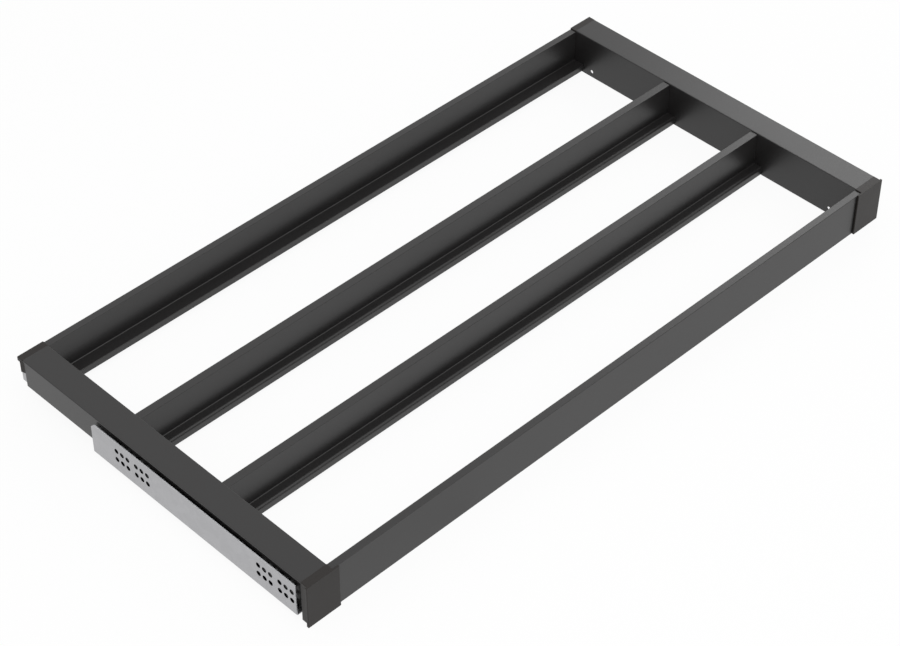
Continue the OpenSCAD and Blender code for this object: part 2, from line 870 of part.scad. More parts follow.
function tube_side(ring, side) =
    let (
        next_side = (side + 1) % wire_sides,
        a = ring * wire_sides + side,
        b = ring * wire_sides + next_side,
        c = a + wire_sides,
        d = b + wire_sides
    )
    [[a, c, b], [b, c, d]];

module damper_spring() {
    start = sled_rear + wire / 2;
    turns = floor((damper_rear - wire / 2 - start) / spring_pitch * rings_per_turn) / rings_per_turn;
    rings = turns * rings_per_turn;
    points = [for (ring = [0 : rings]) each spring_ring(ring / rings_per_turn)];
    faces = [for (ring = [0 : rings - 1], side = [0 : wire_sides - 1]) each tube_side(ring, side)];
    front_end = [[for (side = [0 : wire_sides - 1]) side]];
    rear_end = [[for (side = [wire_sides - 1 : -1 : 0]) rings * wire_sides + side]];
    color("silver") translate([spring_middle, start, spring_height])
        polyhedron(points, concat(faces, front_end, rear_end));
}

on_left() side_profile();  // left_side_profile
on_right() side_profile();  // right_side_profile
front_bar();
rear_bar();
divider(front_divider_middle);  // front_divider
divider(rear_divider_middle);  // rear_divider
on_left() front_cap();  // front_left_cap
on_right() front_cap();  // front_right_cap
on_left() rear_cap();  // rear_left_cap
on_right() rear_cap();  // rear_right_cap
on_left() divider_screws();  // left_divider_screws
on_right() divider_screws();  // right_divider_screws
corner_screws();
on_left() mounting_channel();  // left_mounting_channel
on_right() mounting_channel();  // right_mounting_channel
on_left() channel_screws();  // left_channel_screws
on_right() channel_screws();  // right_channel_screws
on_left() runner();  // left_runner
on_right() runner();  // right_runner
on_left() middle_rail();  // left_middle_rail
on_right() middle_rail();  // right_middle_rail
on_left() cabinet_rail();  // left_cabinet_rail
on_right() cabinet_rail();  // right_cabinet_rail
on_left() lower_cage();  // left_lower_cage
on_right() lower_cage();  // right_lower_cage
on_left() upper_cage();  // left_upper_cage
on_right() upper_cage();  // right_upper_cage
on_left() cage_rollers(lower_cage_middle, lower_roller_height, lower_roller);  // left_lower_rollers
on_right() cage_rollers(lower_cage_middle, lower_roller_height, lower_roller);  // right_lower_rollers
on_left() cage_rollers(upper_cage_middle, upper_roller_height, upper_roller);  // left_upper_rollers
on_right() cage_rollers(upper_cage_middle, upper_roller_height, upper_roller);  // right_upper_rollers
on_left() cage_balls(lower_cage_middle, lower_race, lower_race_height);  // left_lower_balls
on_right() cage_balls(lower_cage_middle, lower_race, lower_race_height);  // right_lower_balls
on_left() cage_balls(upper_cage_middle, upper_race, upper_race_height);  // left_upper_balls
on_right() cage_balls(upper_cage_middle, upper_race, upper_race_height);  // right_upper_balls
on_left() damper_housing();  // left_damper_housing
on_right() damper_housing();  // right_damper_housing
on_left() damper_cylinder();  // left_damper_cylinder
on_right() damper_cylinder();  // right_damper_cylinder
on_left() damper_rod();  // left_damper_rod
on_right() damper_rod();  // right_damper_rod
on_left() damper_spring();  // left_damper_spring
on_right() damper_spring();  // right_damper_spring
on_left() damper_sled();  // left_damper_sled
on_right() damper_sled();  // right_damper_sled
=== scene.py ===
"""Dresses the pull-out tray frame: its finishes, its small fasteners and springs, light and camera.

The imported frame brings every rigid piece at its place. Lengths are in metres unless a name says
otherwise, X runs across the frame, Y from the front to the back and Z up.
"""

import json
import logging
import math
from dataclasses import dataclass, field
from enum import Enum

import bmesh
import bpy
from mathutils import Matrix, Vector

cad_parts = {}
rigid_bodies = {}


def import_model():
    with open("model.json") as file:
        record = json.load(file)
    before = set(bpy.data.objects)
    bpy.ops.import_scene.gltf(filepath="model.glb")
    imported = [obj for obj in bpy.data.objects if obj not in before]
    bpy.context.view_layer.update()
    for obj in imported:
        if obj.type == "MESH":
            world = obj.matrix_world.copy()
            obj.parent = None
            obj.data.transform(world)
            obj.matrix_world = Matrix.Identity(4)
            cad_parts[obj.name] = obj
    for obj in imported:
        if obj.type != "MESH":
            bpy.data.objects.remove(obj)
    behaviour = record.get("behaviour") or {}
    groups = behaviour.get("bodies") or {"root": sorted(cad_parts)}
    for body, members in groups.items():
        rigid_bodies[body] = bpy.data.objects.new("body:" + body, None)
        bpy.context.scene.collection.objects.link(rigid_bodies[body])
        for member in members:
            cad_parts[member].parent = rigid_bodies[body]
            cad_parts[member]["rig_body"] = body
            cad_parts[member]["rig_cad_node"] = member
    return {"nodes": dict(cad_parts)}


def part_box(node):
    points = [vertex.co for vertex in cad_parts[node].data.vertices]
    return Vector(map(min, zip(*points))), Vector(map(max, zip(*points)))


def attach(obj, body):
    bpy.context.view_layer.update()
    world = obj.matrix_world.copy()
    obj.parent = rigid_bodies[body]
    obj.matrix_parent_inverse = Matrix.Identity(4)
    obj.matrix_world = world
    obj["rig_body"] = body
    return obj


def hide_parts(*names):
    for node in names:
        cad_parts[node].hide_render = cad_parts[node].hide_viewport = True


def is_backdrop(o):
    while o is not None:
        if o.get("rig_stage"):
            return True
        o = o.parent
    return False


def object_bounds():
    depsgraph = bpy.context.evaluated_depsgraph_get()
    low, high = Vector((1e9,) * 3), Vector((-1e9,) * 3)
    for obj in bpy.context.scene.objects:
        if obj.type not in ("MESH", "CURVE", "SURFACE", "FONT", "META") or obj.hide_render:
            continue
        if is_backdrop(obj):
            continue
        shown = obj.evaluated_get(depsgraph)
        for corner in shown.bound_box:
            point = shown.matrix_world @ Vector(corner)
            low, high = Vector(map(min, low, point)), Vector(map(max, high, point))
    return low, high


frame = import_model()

log = logging.getLogger("tray_frame")

MM = 0.001

# Sockets of the colour Mix node: its two colours, and the colour that comes out
MIX_FIRST = 6
MIX_SECOND = 7
MIX_RESULT = 2

# Layers of detail in the noise textures: clouds of colour, fine relief, and die lines
CLOUD_DETAIL = 3.0
GRAIN_DETAIL = 2.0
STREAK_DETAIL = 1.0

# Rays that the rounding of edges takes at each point
EDGE_SAMPLES = 4

# Corners nearer to each other than this are one corner
WELD = 0.001 * MM


class Run(Enum):
    """How far a pattern is squeezed along X, Y and Z, so that its marks lie along the other way."""

    EVEN = (1.0, 1.0, 1.0)
    WIDTH = (0.015, 1.0, 1.0)
    DEPTH = (1.0, 0.015, 1.0)


class Side(Enum):
    """The two sides of the frame, with the way from the middle to each."""

    LEFT = -1
    RIGHT = 1

    @property
    def label(self) -> str:
        """Gives the side as the nodes' names have it."""
        return self.name.lower()


def linear(code: str) -> tuple[float, float, float, float]:
    """Turns an sRGB hex colour into the linear one that a shader takes.

    Args:
        code: Six hex digits after a #.

    Returns:
        Red, green, blue and full opacity.
    """
    parts = [int(code[at : at + 2], 16) / 255 for at in (1, 3, 5)]
    return (*[p / 12.92 if p <= 0.04045 else ((p + 0.055) / 1.055) ** 2.4 for p in parts], 1.0)


def per_metre(size_mm: float) -> float:
    """Gives the scale of a texture whose marks have this real size."""
    return 1 / (size_mm * MM)


def add(
    tree: bpy.types.NodeTree,
    kind: str,
    values: dict | None = None,
    links: dict | None = None,
    **settings: object,
) -> bpy.types.Node:
    """Adds a shader node.

    Args:
        tree: The node tree that gets it.
        kind: The node's type.
        values: Numbers and colours for its sockets, by name or place.
        links: Output sockets for its input sockets, by name or place.
        **settings: The node's own properties.

    Returns:
        The new node.
    """
    node = tree.nodes.new(kind)
    for name, value in settings.items():
        setattr(node, name, value)
    for socket, value in (values or {}).items():
        node.inputs[socket].default_value = value
    for socket, source in (links or {}).items():
        tree.links.new(source, node.inputs[socket])
    return node


@dataclass(frozen=True)
class Finish:
    """What every finish has. A plain one drifts between two close colours, like moulded plastic.

    The grain is the surface's fine relief. Edges are softened to the radius that the real piece
    has, because a solid's own edges are razor sharp.
    """

    name: str
    colour: str
    drift_colour: str
    roughness: float
    roughness_drift: float = 0.04
    drift_mm: float = 60.0
    grain_mm: float = 1.6
    grain_depth_mm: float = 0.01
    edge_mm: float = 0.3
    metallic: float = 0.0
    specular: float = 0.5
    run: Run = Run.EVEN

    def material(self) -> bpy.types.Material:
        """Builds the finish as a material.

        Returns:
            The material, under the finish's name.
        """
        made = bpy.data.materials.new(self.name)
        made.use_nodes = True
        tree = made.node_tree
        shader = tree.nodes["Principled BSDF"]
        shader.inputs["Metallic"].default_value = self.metallic
        shader.inputs["Specular IOR Level"].default_value = self.specular
        coordinates = add(tree, "ShaderNodeTexCoord").outputs["Object"]
        drift = self.drift(tree, coordinates)
        tree.links.new(self.tint(tree, coordinates, drift), shader.inputs["Base Color"])
        gloss = add(
            tree,
            "ShaderNodeMapRange",
            values={
                "To Min": self.roughness - self.roughness_drift,
                "To Max": self.roughness + self.roughness_drift,
            },
            links={"Value": drift},
        )
        tree.links.new(gloss.outputs["Result"], shader.inputs["Roughness"])
        edge = add(
            tree,
            "ShaderNodeBevel",
            values={"Radius": self.edge_mm * MM},
            samples=EDGE_SAMPLES,
        )
        relief = add(
            tree,
            "ShaderNodeBump",
            values={"Distance": self.grain_depth_mm * MM},
            links={"Height": self.grain(tree, coordinates), "Normal": edge.outputs["Normal"]},
        )
        tree.links.new(relief.outputs["Normal"], shader.inputs["Normal"])
        return made

    def drift(
        self, tree: bpy.types.NodeTree, coordinates: bpy.types.NodeSocket
    ) -> bpy.types.NodeSocket:
        """Draws the slow unevenness of colour and gloss, as soft clouds.

        Args:
            tree: The material's node tree.
            coordinates: The Object coordinates.

        Returns:
            The unevenness, from 0 to 1.
        """
        clouds = add(
            tree,
            "ShaderNodeTexNoise",
            values={"Scale": per_metre(self.drift_mm), "Detail": CLOUD_DETAIL},
            links={"Vector": coordinates},
        )
        return clouds.outputs[0]

    def tint(
        self,
        tree: bpy.types.NodeTree,
        coordinates: bpy.types.NodeSocket,
        drift: bpy.types.NodeSocket,
    ) -> bpy.types.NodeSocket:
        """Mixes the two colours by the drift.

        Args:
            tree: The material's node tree.
            coordinates: The Object coordinates, not used by this plain finish.
            drift: The slow unevenness, from 0 to 1.

        Returns:
            The colour's socket.
        """
        mix = add(
            tree,
            "ShaderNodeMix",
            values={MIX_FIRST: linear(self.colour), MIX_SECOND: linear(self.drift_colour)},
            links={0: drift},
            data_type="RGBA",
        )
        return mix.outputs[MIX_RESULT]

    def grain(
        self, tree: bpy.types.NodeTree, coordinates: bpy.types.NodeSocket
    ) -> bpy.types.NodeSocket:
        """Draws the fine relief, stretched where the surface was drawn or rolled.

        Args:
            tree: The material's node tree.
            coordinates: The Object coordinates.

        Returns:
            The relief's height, from 0 to 1.
        """
        squeezed = add(
            tree,
            "ShaderNodeMapping",
            values={"Scale": self.run.value},
            links={"Vector": coordinates},
        )
        fine = add(
            tree,
            "ShaderNodeTexNoise",
            values={"Scale": per_metre(self.grain_mm), "Detail": GRAIN_DETAIL},
            links={"Vector": squeezed.outputs["Vector"]},
        )
        return fine.outputs[0]


@dataclass(frozen=True)
class Extruded(Finish):
    """A coated extrusion: the die's faint lines show through the coat as long light streaks."""

    streak_mm: float = 5.0
    streak_share: float = 0.35

    def tint(
        self,
        tree: bpy.types.NodeTree,
        coordinates: bpy.types.NodeSocket,
        drift: bpy.types.NodeSocket,
    ) -> bpy.types.NodeSocket:
        """Mixes the two colours by the drift and the die lines together.

        Args:
            tree: The material's node tree.
            coordinates: The Object coordinates.
            drift: The slow unevenness, from 0 to 1.

        Returns:
            The colour's socket.
        """
        squeezed = add(
            tree,
            "ShaderNodeMapping",
            values={"Scale": self.run.value},
            links={"Vector": coordinates},
        )
        streaks = add(
            tree,
            "ShaderNodeTexNoise",
            values={"Scale": per_metre(self.streak_mm), "Detail": STREAK_DETAIL},
            links={"Vector": squeezed.outputs["Vector"]},
        )
        both = add(
            tree,
            "ShaderNodeMix",
            values={0: self.streak_share},
            links={2: drift, 3: streaks.outputs[0]},
            data_type="FLOAT",
        )
        return super().tint(tree, coordinates, both.outputs[0])


@dataclass(frozen=True)
class Galvanised(Finish):
    """Zinc-coated sheet: crystals of the coat lie side by side, each a little lighter or darker."""

    crystal_mm: float = 7.0
    crystal_share: float = 0.5

    def tint(
        self,
        tree: bpy.types.NodeTree,
        coordinates: bpy.types.NodeSocket,
        drift: bpy.types.NodeSocket,
    ) -> bpy.types.NodeSocket:
        """Mixes the two colours by the drift and the crystals together.

        Args:
            tree: The material's node tree.
            coordinates: The Object coordinates.
            drift: The slow unevenness, from 0 to 1.

        Returns:
            The colour's socket.
        """
        crystals = add(
            tree,
            "ShaderNodeTexVoronoi",
            values={"Scale": per_metre(self.crystal_mm), "Randomness": 1.0},
            links={"Vector": coordinates},
        )
        both = add(
            tree,
            "ShaderNodeMix",
            values={0: self.crystal_share},
            links={2: drift, 3: crystals.outputs["Color"]},
            data_type="FLOAT",
        )
        return super().tint(tree, coordinates, both.outputs[0])


@dataclass(frozen=True)
class PunchedSheet(Galvanised):
    """Galvanised sheet that is trimmed and punched after its bath, so its cuts have lost the zinc.

    The trimmed edges show bare steel plus a painted highlight. Deep hole walls get painted shade.
    A cut is told from the flange's two faces by the way it looks, and a hole's wall from a trimmed
    edge by its place inside the flange. Cuts lie within wall_mm of the flange's outer face.
    """

    node: str = ""
    # bare steel of the trimmed edges, lightened further as a painted highlight
    trimmed: str = "#dadbde"
    # painted shade on the punched holes' walls
    sheared: str = "#141415"
    wall_mm: float = 1.3
    margin_mm: float = 3.0
    cut_tilt: float = 0.5

    def tint(
        self,
        tree: bpy.types.NodeTree,
        coordinates: bpy.types.NodeSocket,
        drift: bpy.types.NodeSocket,
    ) -> bpy.types.NodeSocket:
        """Puts bare steel and painted highlight on the edges, then painted shade in the holes.

        Args:
            tree: The material's node tree.
            coordinates: The Object coordinates.
            drift: The slow unevenness, from 0 to 1.

        Returns:
            The colour's socket.
        """
        shown = super().tint(tree, coordinates, drift)
        # trimmed edges: bare steel with painted highlight; hole walls: painted shade
        for colour, place in zip((self.trimmed, self.sheared), self.cuts(tree, coordinates)):
            mix = add(
                tree,
                "ShaderNodeMix",
                values={MIX_SECOND: linear(colour)},
                links={0: place, MIX_FIRST: shown},
                data_type="RGBA",
            )
            shown = mix.outputs[MIX_RESULT]
        return shown

    def cuts(
        self, tree: bpy.types.NodeTree, coordinates: bpy.types.NodeSocket
    ) -> tuple[bpy.types.NodeSocket, bpy.types.NodeSocket]:
        """Finds the cuts: the edges for bare steel and painted highlight, the holes for painted
        shade.

        Args:
            tree: The material's node tree.
            coordinates: The Object coordinates.

        Returns:
            A socket that is 1 on every cut of the flange, and one that is 1 on hole walls only.
        """
        normal = add(tree, "ShaderNodeNewGeometry").outputs["Normal"]
        facing = add(tree, "ShaderNodeSeparateXYZ", links={0: normal})
        across = add(
            tree, "ShaderNodeMath", links={0: facing.outputs["X"]}, operation="ABSOLUTE"
        )
        found = [
            add(
                tree,
                "ShaderNodeMath",
                values={1: self.cut_tilt},
                links={0: across.outputs[0]},
                operation="LESS_THAN",
            ).outputs[0]
        ]
        place = add(tree, "ShaderNodeSeparateXYZ", links={0: coordinates})
        for axis, (middle, reach) in enumerate(self.flange()):
            inside = add(
                tree,
                "ShaderNodeMath",
                values={1: middle, 2: reach},
                links={0: place.outputs[axis]},
                operation="COMPARE",
            )
            both = add(
                tree,
                "ShaderNodeMath",
                links={0: found[-1], 1: inside.outputs[0]},
                operation="MULTIPLY",
            )
            found.append(both.outputs[0])
        return found[1], found[-1]

    def flange(self) -> list[tuple[float, float]]:
        """Gives the middle and the half size of the flange's punched field along X, Y and Z."""
        low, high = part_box(self.node)
        face = low.x if low.x < 0 else high.x
        margin = self.margin_mm * MM
        return [
            (face, self.wall_mm * MM),
            ((low.y + high.y) / 2, (high.y - low.y) / 2 - margin),
            ((low.z + high.z) / 2 + margin, (high.z - low.z) / 2 - 2 * margin),
        ]


# Powder-coated aluminium, extruded and then sprayed: a satin anthracite skin with a faint orange
# peel, which takes on the brightness of what it faces. The peel is drawn 2 mm wide to show.
COAT = {
    "colour": "#1c1b1b",
    "drift_colour": "#201f1f",
    "roughness": 0.36,
    "roughness_drift": 0.03,
    "drift_mm": 90.0,
    "grain_mm": 2.0,
    "grain_depth_mm": 0.012,
    "edge_mm": 0.1,
}
COAT_ACROSS = Extruded(name="powder_coat_extruded_across", run=Run.WIDTH, **COAT)
COAT_DEEP = Extruded(name="powder_coat_extruded_deep", run=Run.DEPTH, **COAT)

# Moulded nylon with an eroded mould surface: a shade browner and duller than the coat, because
# its fine pits scatter the light. The pits are drawn 1.2 mm wide to show.
CAP_NYLON = Finish(
    name="moulded_nylon_anthracite",
    colour="#1c1917",
    drift_colour="#201c1a",
    roughness=0.45,
    specular=0.3,
    drift_mm=30.0,
    grain_mm=1.2,
    grain_depth_mm=0.02,
    edge_mm=0.5,
)

# Hot-dip galvanised sheet, cold formed: dull light grey, with soft crystals 7 mm across. The
# cabinet rails are trimmed and punched after the zinc bath.
ZINC = {
    "colour": "#acacae",
    "drift_colour": "#b8b8ba",
    "roughness": 0.5,
    "roughness_drift": 0.05,
    "drift_mm": 40.0,
    "grain_mm": 3.0,
    "grain_depth_mm": 0.006,
    "edge_mm": 0.3,
    "metallic": 1.0,
    "run": Run.DEPTH,
}
ZINC_SHEET = Galvanised(name="galvanised_sheet", **ZINC)
PUNCHED_LEFT = PunchedSheet(name="galvanised_punched_left", node="left_cabinet_rail", **ZINC)
PUNCHED_RIGHT = PunchedSheet(name="galvanised_punched_right", node="right_cabinet_rail", **ZINC)

# Cold-rolled steel with a bright zinc plating: the rolling marks run along the rail
BRIGHT_ZINC = Extruded(
    name="bright_zinc_rolled",
    colour="#b9bcc0",
    drift_colour="#c9ccd0",
    roughness=0.3,
    roughness_drift=0.05,
    drift_mm=30.0,
    grain_mm=1.0,
    grain_depth_mm=0.008,
    metallic=1.0,
    run=Run.DEPTH,
    streak_mm=1.5,
    streak_share=0.6,
)

# Zinc-plated screws: bluish and fairly bright, with a slightly uneven plating
SCREW_ZINC = Finish(
    name="zinc_plated_screw",
    colour="#b4b9c1",
    drift_colour="#c6cad0",
    roughness=0.28,
    drift_mm=2.0,
    grain_mm=0.4,
    grain_depth_mm=0.004,
    edge_mm=0.1,
    metallic=1.0,
)

# Hardened and ground bearing steel: nearly a mirror, with the haze of its thin oil film
BEARING = Finish(
    name="ground_bearing_steel",
    colour="#d2d3d6",
    drift_colour="#dcdde0",
    roughness=0.12,
    roughness_drift=0.04,
    drift_mm=1.5,
    grain_mm=0.3,
    grain_depth_mm=0.001,
    edge_mm=0.1,
    metallic=1.0,
)

# Drawn spring wire: grey and satin, as it comes from the die
SPRING_WIRE = Finish(
    name="drawn_spring_wire",
    colour="#9fa1a5",
    drift_colour="#b0b2b6",
    roughness=0.35,
    drift_mm=1.0,
    grain_mm=0.3,
    grain_depth_mm=0.002,
    edge_mm=0.05,
    metallic=1.0,
)

# Turned and anodised aluminium tube of the damper: fine rings of the tool all along it
DAMPER_TUBE = Finish(
    name="turned_aluminium",
    colour="#8d9096",
    drift_colour="#a0a3a8",
    roughness=0.32,
    drift_mm=4.0,
    grain_mm=0.5,
    grain_depth_mm=0.004,
    edge_mm=0.2,
    metallic=1.0,
)

# Natural acetal, injection moulded: waxy ivory with soft edges
ACETAL = Finish(
    name="moulded_acetal_natural",
    colour="#dcd8cb",
    drift_colour="#e4e1d6",
    roughness=0.38,
    drift_mm=12.0,
    grain_mm=0.8,
    grain_depth_mm=0.006,
    edge_mm=0.2,
)

# Glass-filled nylon of the soft-close housing: black, matt, with the fibres' faint mottle
HOUSING_NYLON = Finish(
    name="moulded_nylon_glass_filled",
    colour="#1d1d1f",
    drift_colour="#262628",
    roughness=0.5,
    drift_mm=5.0,
    grain_mm=0.8,
    grain_depth_mm=0.015,
    edge_mm=0.3,
)


class Wardrobe:
    """Every CAD node's finish, and the materials made so far."""

    def __init__(self) -> None:
        """Starts with no material made."""
        self.made: dict[str, bpy.types.Material] = {}

    def material(self, finish: Finish) -> bpy.types.Material:
        """Gives the material of a finish, made on first use.

        Args:
            finish: The finish.

        Returns:
            Its one material.
        """
        if finish.name not in self.made:
            self.made[finish.name] = finish.material()
        return self.made[finish.name]

    def dress(self, piece: bpy.types.Object, finish: Finish) -> None:
        """Gives a piece one finish all over.

        Args:
            piece: A CAD node or a new piece.
            finish: Its finish.
        """
        if not piece.material_slots:
            piece.data.materials.append(None)
        for slot in piece.material_slots:
            slot.material = self.material(finish)
        log.info("%s: %s", piece.name, finish.name)

    def dress_node(self, name: str, finish: Finish) -> None:
        """Gives a CAD node one finish all over, found by the node's name."""
        self.dress(frame["nodes"][name], finish)


def deselect() -> None:
    """Leaves nothing selected, because an operator acts on all that is."""
    bpy.ops.object.select_all(action="DESELECT")


def select(*pieces: bpy.types.Object) -> None:
    """Selects these pieces alone.

    Args:
        *pieces: What to select. The last of them becomes the active one.
    """
    deselect()
    for piece in pieces:
        piece.select_set(True)
        bpy.context.view_layer.objects.active = piece


def settle(piece: bpy.types.Object) -> None:
    """Moves a piece's place into its mesh, so that its object lies at the origin."""
    select(piece)
    bpy.ops.object.transform_apply(location=True, rotation=True, scale=True)


def copy_of(piece: bpy.types.Object, name: str) -> bpy.types.Object:
    """Copies a piece, its mesh too.

    Args:
        piece: The piece to copy.
        name: The copy's name.

    Returns:
        The copy, linked to the scene.
    """
    made = piece.copy()
    made.data = piece.data.copy()
    made.name = name
    bpy.context.scene.collection.objects.link(made)
    return made


def join(pieces: list[bpy.types.Object], name: str) -> bpy.types.Object:
    """Joins pieces into one object.

    Args:
        pieces: What to join.
        name: The name of the result.

    Returns:
        The joined object.
    """
    select(*pieces)
    bpy.ops.object.join()
    joined = bpy.context.view_layer.objects.active
    joined.name = name
    return joined


def solids_of(node: str) -> list[tuple[Vector, Vector]]:
    """Finds the separate solids of a CAD node.

    Args:
        node: The node's name.

    Returns:
        The lowest and the highest corner of each solid.
    """
    copied = bmesh.new()
    copied.from_mesh(frame["nodes"][node].data)
    bmesh.ops.remove_doubles(copied, verts=copied.verts, dist=WELD)
    left = set(copied.verts)
    boxes = []
    while left:
        grown = [left.pop()]
        reached = []
        while grown:
            vertex = grown.pop()
            reached.append(vertex.co.copy())
            for edge in vertex.link_edges:
                other = edge.other_vert(vertex)
                if other in left:
                    left.remove(other)
                    grown.append(other)
        boxes.append(
            (
                Vector(min(point[axis] for point in reached) for axis in range(3)),
                Vector(max(point[axis] for point in reached) for axis in range(3)),
            )
        )
    copied.free()
    return boxes


@dataclass
class Screw:
    """A pan head screw with a cross recess, modelled head down with its shank along +Z.

    Shares are parts of the head's diameter or height, or of the shank's radius at the tip.
    """

    node: str
    finish: Finish = SCREW_ZINC
    head_height: float = 2.2 * MM
    head_sides: int = 32
    crown_share: float = 0.6
    crown_steps: int = 5
    recess_share: float = 0.62
    recess_taper: float = 0.45
    recess_wall: float = 0.9 * MM
    recess_depth: float = 1.3 * MM
    core_share: float = 0.26
    shank_sides: int = 24
    sunk_share: float = 0.1
    ridge_pitch: float = 1.1 * MM
    ridge_height: float = 0.25 * MM
    tip_share: float = 0.7
    smooth_angle: float = math.radians(40)

    def build(self, wardrobe: Wardrobe) -> None:
        """Models one screw, sets a copy at each of the node's solids and lets them ride.

        Args:
            wardrobe: Where the finish comes from.
        """
        boxes = solids_of(self.node)
        first = self.model(*self.sizes(*boxes[0]))
        pieces = [
            self.seat(copy_of(first, f"{self.node}_{index + 1}"), low, high)
            for index, (low, high) in enumerate(boxes)
        ]
        bpy.data.objects.remove(first)
        joined = join(pieces, f"{self.node}_recessed")
        wardrobe.dress(joined, self.finish)
        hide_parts(self.node)
        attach(joined, frame["nodes"][self.node]["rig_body"])

    def sizes(self, low: Vector, high: Vector) -> tuple[float, float]:
        """Reads a screw's head diameter and whole length from its box."""
        spans = sorted(high - low)
        return spans[0], spans[2]

    def model(self, head: float, length: float) -> bpy.types.Object:
        """Models the screw.

        Args:
            head: Diameter of the head.
            length: Length over all.

        Returns:
            The screw, with its crown at z = 0.
        """
        deselect()
        bpy.ops.mesh.primitive_cylinder_add(
            vertices=self.head_sides,
            radius=head / 2,
            depth=self.head_height,
            location=(0, 0, self.head_height / 2),
        )
        screw = bpy.context.object
        settle(screw)
        self.round_crown(screw)
        self.cut_recess(screw, head)
        self.draw_shank(screw, head * self.core_share, length)
        select(screw)
        bpy.ops.object.shade_smooth_by_angle(angle=self.smooth_angle)
        return screw

    def round_crown(self, screw: bpy.types.Object) -> None:
        """Bevels the crown's rim into the pan's round shoulder.

        Args:
            screw: The screw's head, with its crown at z = 0.
        """
        select(screw)
        bpy.ops.object.mode_set(mode="EDIT")
        mesh = bmesh.from_edit_mesh(screw.data)
        for edge in mesh.edges:
            edge.select_set(all(vertex.co.z < WELD for vertex in edge.verts))
        bmesh.update_edit_mesh(screw.data)
        bpy.ops.mesh.bevel(
            offset=self.head_height * self.crown_share, segments=self.crown_steps
        )
        bpy.ops.object.mode_set(mode="OBJECT")

    def cut_recess(self, screw: bpy.types.Object, head: float) -> None:
        """Cuts the cross into the crown with two crossed blades that taper towards their tips.

        Args:
            screw: The screw's head.
            head: Diameter of the head.
        """
        for turn in (0, math.pi / 2):
            deselect()
            bpy.ops.mesh.primitive_cube_add(size=1, location=(0, 0, 0))
            blade = bpy.context.object
            blade.scale = (head * self.recess_share, self.recess_wall, 2 * self.recess_depth)
            blade.rotation_euler.z = turn
            settle(blade)
            bpy.ops.object.mode_set(mode="EDIT")
            mesh = bmesh.from_edit_mesh(blade.data)
            for face in mesh.faces:
                face.select_set(face.normal.z > 0.5)
            bmesh.update_edit_mesh(blade.data)
            bpy.ops.transform.resize(value=(self.recess_taper, self.recess_taper, 1))
            bpy.ops.object.mode_set(mode="OBJECT")
            cut = screw.modifiers.new("recess", "BOOLEAN")
            cut.operation = "DIFFERENCE"
            cut.object = blade
            select(screw)
            bpy.ops.object.modifier_apply(modifier=cut.name)
            bpy.data.objects.remove(blade)

    def draw_shank(self, screw: bpy.types.Object, radius: float, length: float) -> None:
        """Draws the shank out of the head's seat, one ridge after the other, to a blunt tip.

        Args:
            screw: The screw's head.
            radius: Core radius of the shank.
            length: Length over all.
        """
        sunk = self.head_height * self.sunk_share
        deselect()
        bpy.ops.mesh.primitive_circle_add(
            vertices=self.shank_sides,
            radius=radius,
            fill_type="NGON",
            location=(0, 0, self.head_height - sunk),
        )
        shank = bpy.context.object
        settle(shank)
        bpy.ops.object.mode_set(mode="EDIT")
        bpy.ops.mesh.select_all(action="SELECT")
        rise = self.ridge_pitch / 2
        ridge_scale = (radius + self.ridge_height) / radius
        count = int((length - self.head_height) / self.ridge_pitch) - 1
        self.extrude(sunk + rise, 1)
        for _ in range(count):
            self.extrude(rise, ridge_scale)
            self.extrude(rise, 1 / ridge_scale)
        rest = length - self.head_height - rise - count * self.ridge_pitch
        self.extrude(rest, self.tip_share)
        bpy.ops.mesh.select_all(action="SELECT")
        bpy.ops.mesh.normals_make_consistent(inside=False)
        bpy.ops.object.mode_set(mode="OBJECT")
        self.close_start(shank)
        select(shank, screw)
        bpy.ops.object.join()

    def extrude(self, rise: float, scale: float) -> None:
        """Extrudes what is selected upwards and scales its end."""
        bpy.ops.mesh.extrude_region_move(TRANSFORM_OT_translate={"value": (0, 0, rise)})
        bpy.ops.transform.resize(value=(scale, scale, 1))

    def close_start(self, shank: bpy.types.Object) -> None:
        """Closes the shank's lower end, which the first extrusion left open.

        Args:
            shank: The shank.
        """
        select(shank)
        bpy.ops.object.mode_set(mode="EDIT")
        bpy.ops.mesh.select_all(action="DESELECT")
        bpy.ops.mesh.select_mode(type="EDGE")
        bpy.ops.mesh.select_non_manifold()
        bpy.ops.mesh.edge_face_add()
        bpy.ops.mesh.select_all(action="SELECT")
        bpy.ops.mesh.normals_make_consistent(inside=False)
        bpy.ops.mesh.select_mode(type="VERT")
        bpy.ops.object.mode_set(mode="OBJECT")

    def seat(self, screw: bpy.types.Object, low: Vector, high: Vector) -> bpy.types.Object:
        """Turns a copy to its axis and sets its crown where the solid's is.

        Args:
            screw: The copy, at the origin.
            low: The solid's lowest corner.
            high: The solid's highest corner.

        Returns:
            The copy, in place.
        """
        spans = high - low
        axis = max(range(3), key=lambda at: spans[at])
        middle = (low + high) / 2
        way = Vector((0, 0, 0))
        way[axis] = self.thread_way(axis, middle)
        crown = middle.copy()
        crown[axis] = low[axis] if way[axis] > 0 else high[axis]
        turn = Vector((0, 0, 1)).rotation_difference(way).to_matrix().to_4x4()
        screw.matrix_world = Matrix.Translation(crown) @ turn
        settle(screw)
        return screw

    def thread_way(self, axis: int, middle: Vector) -> int:
        """Says which way the thread points: up, out to a cap, or in from a side profile.

        Args:
            axis: The axis that the screw lies along, from 0 to 2.
            middle: The middle of the screw.

        Returns:
            1 or -1 along that axis.
        """
        if axis == 2:
            return 1
        if axis == 1:
            return -1 if middle.y < 0 else 1
        return 1 if middle.x < 0 else -1


